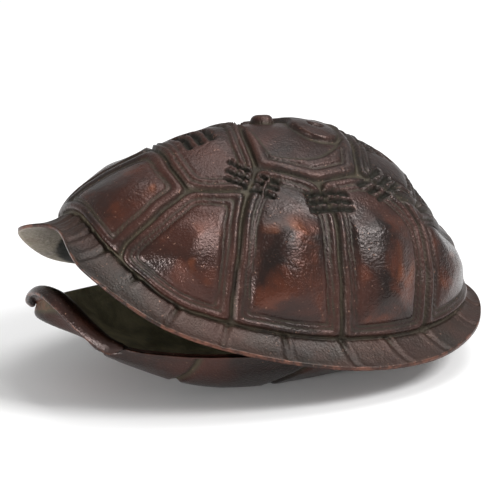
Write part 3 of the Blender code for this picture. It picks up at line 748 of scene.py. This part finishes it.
def bronze_group():
    """Patina colour, roughness and surface height from the shell's own masks."""
    group = bpy.data.node_groups.new("bronze_patina", "ShaderNodeTree")
    face_of = group.interface
    face_of.new_socket("Place", in_out="INPUT", socket_type="NodeSocketVector")
    for name in ("Groove", "Field", "Pit", "Proud", "Rub"):
        face_of.new_socket(name, in_out="INPUT", socket_type="NodeSocketFloat")
    face_of.new_socket("Color", in_out="OUTPUT", socket_type="NodeSocketColor")
    face_of.new_socket("Roughness", in_out="OUTPUT", socket_type="NodeSocketFloat")
    face_of.new_socket("Height", in_out="OUTPUT", socket_type="NodeSocketFloat")
    k = Nodes(group)
    given = k.add("NodeGroupInput").outputs
    result = k.add("NodeGroupOutput").inputs
    where = given["Place"]
    cloud = k.noise(where, 45, 4, 0.55, 0.4)
    patch = k.noise(where, 85, 3, 0.5, 0.3)
    speck = k.noise(where, 900, 2, 0.5)
    grain = k.noise(where, 2000, 3, 0.6)
    color = k.mix(k.span(cloud, 0.35, 0.68), BASE_DARK, BASE_LIGHT)
    warm = k.math("MULTIPLY", given["Field"], k.span(patch, 0.46, 0.66))
    color = k.mix(k.math("MULTIPLY", warm, 0.75), color, WARM_FIELD)
    hot = k.math("MULTIPLY", given["Field"], k.span(k.noise(where, 70, 2, 0.5, 0.2), 0.60, 0.74))
    color = k.mix(k.math("MULTIPLY", hot, 0.4), color, HOT_SPOT)
    high = k.span(given["Proud"], 0.25, 0.9)
    high = k.math("MULTIPLY", high, k.span(speck, 0.45, 0.8, 0.0, 0.7))
    color = k.mix(high, color, RAISED)
    dirt = k.math("MULTIPLY", given["Groove"], k.span(k.noise(where, 120, 4, 0.6), 0.30, 0.58))
    dirt = k.math("MULTIPLY", dirt, given["Groove"])
    # the groove mask also carries painted shade, on the flared edge and on the wall under the
    # front lip
    color = k.mix(k.math("MULTIPLY", given["Groove"], 0.85), color, GROOVE)
    color = k.mix(k.math("MULTIPLY", dirt, 0.6), color, RESIDUE)
    color = k.mix(k.math("MULTIPLY", given["Pit"], 0.93), color, PIT)
    dots = k.span(k.noise(where, 1300, 1, 0.4), 0.72, 0.78)
    color = k.mix(k.math("MULTIPLY", dots, 0.45), color, SPECKLE)
    worn = k.math("MULTIPLY", given["Rub"], k.span(k.noise(where, 260, 4, 0.7), 0.42, 0.62))
    color = k.mix(k.math("MULTIPLY", worn, 0.65), color, RUBBED)
    k.link(color, result["Color"])
    rough = k.span(cloud, 0.3, 0.7, 0.27, 0.38)
    rough = k.math("ADD", rough, k.math("MULTIPLY", given["Groove"], 0.3))
    rough = k.math("ADD", rough, k.math("MULTIPLY", given["Pit"], 0.4))
    rough = k.math("ADD", rough, k.math("MULTIPLY", given["Field"], -0.08), True)
    k.link(rough, result["Roughness"])
    cells = k.add("ShaderNodeTexVoronoi", feature="SMOOTH_F1")
    k.link(where, cells.inputs["Vector"])
    cells.inputs["Scale"].default_value = 1300
    cells.inputs["Smoothness"].default_value = 0.8
    height = k.math("MULTIPLY", cells.outputs["Distance"], 0.7)
    height = k.math("ADD", height, k.math("MULTIPLY", grain, 0.8))
    height = k.math("ADD", height, k.math("MULTIPLY", k.noise(where, 420, 2, 0.5), 0.3))
    k.link(height, result["Height"])
    return group


patina = bronze_group()


def outside_coat(k, place, shader, bump_node):
    """Patina driven by the masks of the relief."""
    group = k.add("ShaderNodeGroup", node_tree=patina)
    k.link(place, group.inputs["Place"])
    for key in ("groove", "field", "pit", "proud", "rub"):
        mask = k.add("ShaderNodeAttribute", attribute_name=key)
        k.link(mask.outputs["Fac"], group.inputs[key.capitalize()])
    k.link(group.outputs["Color"], shader.inputs["Base Color"])
    k.link(group.outputs["Roughness"], shader.inputs["Roughness"])
    k.link(group.outputs["Height"], bump_node.inputs["Height"])
    bump_node.inputs["Distance"].default_value = 0.00035
    bump_node.inputs["Strength"].default_value = 0.42
    shader.inputs["Metallic"].default_value = 0.45
    shader.inputs["Specular IOR Level"].default_value = 0.5


def inside_coat(k, place, shader, bump_node):
    """Dull grey-green metal, lightened to stand in for light in the hollow (painted light); dusty
    at the edge, with painted shade far in.
    """
    mist = k.noise(place, 90, 4, 0.6, 0.4)
    # inside colour lightened to stand in for light in the hollow: painted light
    color = k.mix(k.span(mist, 0.35, 0.65), INSIDE_DARK, INSIDE_LIGHT)
    pale = k.span(k.noise(place, 500, 3, 0.6), 0.56, 0.74)
    color = k.mix(k.math("MULTIPLY", pale, 0.35), color, INSIDE_GREY)
    rim = k.add("ShaderNodeAttribute", attribute_name="rub").outputs["Fac"]
    dust = k.math("MULTIPLY", rim, k.span(k.noise(place, 1100, 3, 0.7), 0.42, 0.62))
    color = k.mix(k.math("MULTIPLY", rim, 0.8), color, RIM_BROWN)
    color = k.mix(k.math("MULTIPLY", dust, 0.75), color, RIM_DUST)
    # on the inside rows the pit mask is painted shade, near black far in
    deep = k.add("ShaderNodeAttribute", attribute_name="pit").outputs["Fac"]
    rust = k.span(k.noise(place, 60, 3, 0.5), 0.60, 0.72)
    color = k.mix(k.math("MULTIPLY", rust, 0.4), color, RUST)
    color = k.mix(k.math("MULTIPLY", deep, 0.97), color, PAINTED_SHADE)
    k.link(color, shader.inputs["Base Color"])
    k.link(k.span(mist, 0.3, 0.7, 0.55, 0.75), shader.inputs["Roughness"])
    k.link(k.noise(place, 650, 4, 0.65), bump_node.inputs["Height"])
    bump_node.inputs["Distance"].default_value = 0.0005
    bump_node.inputs["Strength"].default_value = 0.5
    shader.inputs["Metallic"].default_value = 0.0
    shader.inputs["Specular IOR Level"].default_value = 0.25


def bronze(name, coat):
    """Material with the given coat on its Principled shader."""
    material = bpy.data.materials.new(name)
    material.use_nodes = True
    k = Nodes(material.node_tree)
    shader = material.node_tree.nodes["Principled BSDF"]
    place = k.add("ShaderNodeTexCoord").outputs["Object"]
    bump_node = k.add("ShaderNodeBump")
    coat(k, place, shader, bump_node)
    k.link(bump_node.outputs["Normal"], shader.inputs["Normal"])
    return material


outer_bronze = bronze("patinated_bronze_outside", outside_coat)
inner_bronze = bronze("dull_bronze_inside", inside_coat)
for piece in (upper_shell(), lower_shell()):
    piece.data.materials.append(outer_bronze)
    piece.data.materials.append(inner_bronze)
    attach(piece, "root")
    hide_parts("turtle_shell")

# ---- floor, light and camera ----------------------------------------------------------------
FLOOR = 4.0                     # half the floor's side, metres
corners = [(-FLOOR, -FLOOR, 0), (FLOOR, -FLOOR, 0), (FLOOR, FLOOR, 0), (-FLOOR, FLOOR, 0)]
floor_mesh = bpy.data.meshes.new("floor")
floor_mesh.from_pydata(corners, [], [(0, 1, 2, 3)])
floor = bpy.data.objects.new("floor", floor_mesh)
bpy.context.scene.collection.objects.link(floor)
paper = bpy.data.materials.new("pale_floor")
paper.use_nodes = True
matt = paper.node_tree.nodes["Principled BSDF"].inputs
matt["Base Color"].default_value = (0.92, 0.92, 0.92, 1)
matt["Roughness"].default_value = 0.9
matt["Specular IOR Level"].default_value = 0.1
floor_mesh.materials.append(paper)

world = bpy.data.worlds.new("studio")
world.use_nodes = True
world.node_tree.nodes["Background"].inputs["Color"].default_value = (1, 1, 1, 1)
world.node_tree.nodes["Background"].inputs["Strength"].default_value = 0.5
bpy.context.scene.world = world


def softbox(name, place, aim, size, power):
    """Oblong area light at a place, turned to what it lights."""
    light = bpy.data.lights.new(name, "AREA")
    light.shape = "RECTANGLE"
    light.size, light.size_y = size
    light.energy = power
    ob = bpy.data.objects.new(name, light)
    bpy.context.scene.collection.objects.link(ob)
    ob.location = place
    ob.rotation_euler = (Vector(aim) - Vector(place)).to_track_quat("-Z", "Y").to_euler()


softbox("top_box", (0.3, 0.0, 1.0), (0.0, 0.0, 0.03), (0.6, 0.6), 5.0)
softbox("front_box", (0.5, -0.7, 0.85), (0.0, 0.0, 0.04), (0.4, 0.35), 11.0)
softbox("low_box", (-1.1, -0.30, 0.10), (-0.03, 0.0, 0.01), (0.3, 0.12), 14.0)

TARGET = Vector((0.0009, 0.0026, 0.0342))
AZIMUTH, ELEVATION = math.radians(29.0), math.radians(18.0)
REACH = 1.2                     # metres from the target to the camera
LENS, SENSOR = 283.4, 36.0      # millimetres
look = Vector((math.sin(AZIMUTH) * math.cos(ELEVATION), math.cos(AZIMUTH) * math.cos(ELEVATION),
               -math.sin(ELEVATION)))
camera_data = bpy.data.cameras.new("camera")
camera_data.sensor_width = SENSOR
camera_data.lens = LENS
camera = bpy.data.objects.new("camera", camera_data)
bpy.context.scene.collection.objects.link(camera)
camera.location = TARGET - look * REACH
camera.rotation_euler = look.to_track_quat("-Z", "Y").to_euler()
bpy.context.scene.camera = camera
bpy.context.scene.view_settings.view_transform = "Standard"
